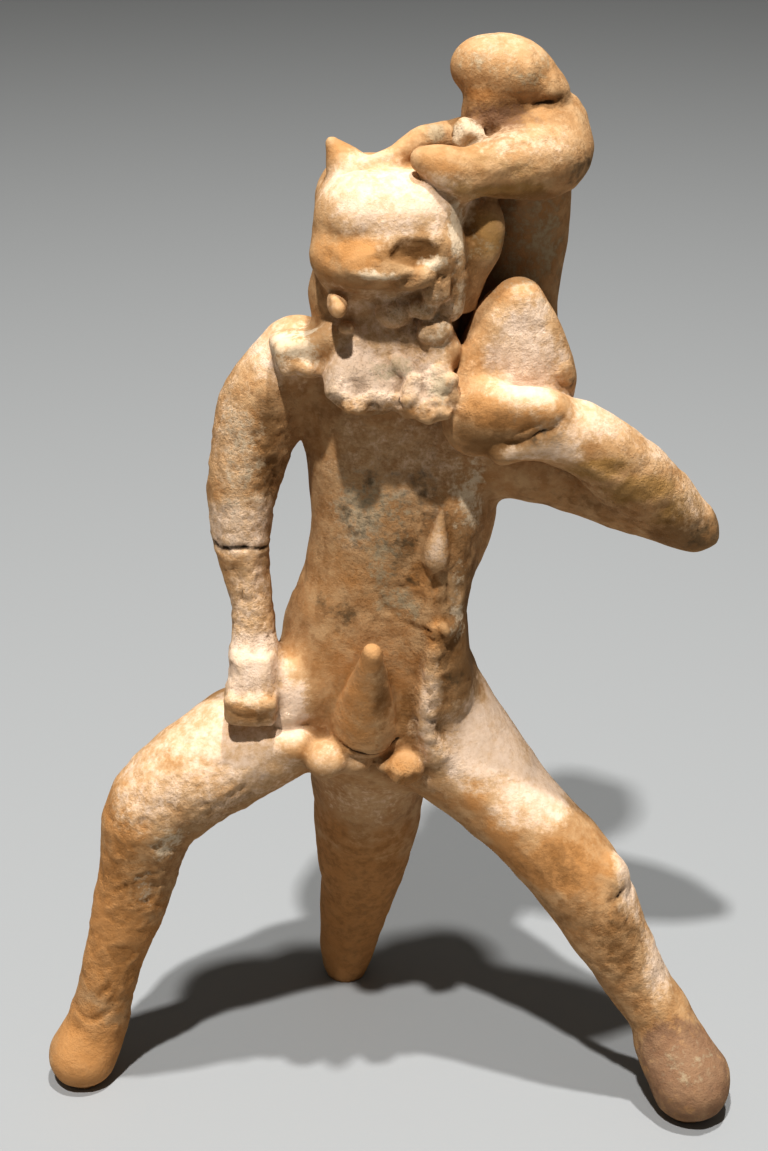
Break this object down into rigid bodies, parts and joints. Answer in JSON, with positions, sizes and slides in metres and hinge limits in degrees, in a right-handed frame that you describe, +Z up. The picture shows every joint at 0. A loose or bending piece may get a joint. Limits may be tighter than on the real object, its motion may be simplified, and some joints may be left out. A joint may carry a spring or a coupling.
{
  "type": "terracotta figurine",
  "caption": "Hand-modelled terracotta statuette of a bearded satyr on spread legs and a prop tail, carrying a small seated figure on its left shoulder; stands free on a shelf.",
  "frame": {"origin": "middle of the bounding box's footprint, at the height of the flat soles", "axes": "+Z up, -Y the way the satyr faces, +X towards the satyr's left"},
  "size_m": [0.0936, 0.0402, 0.1409],
  "materials": {
    "terracotta": "unglazed, dry, worn white slip in places"
  },
  "bodies": {
    "root": {"figurine": "terracotta"}
  },
  "joints": []
}
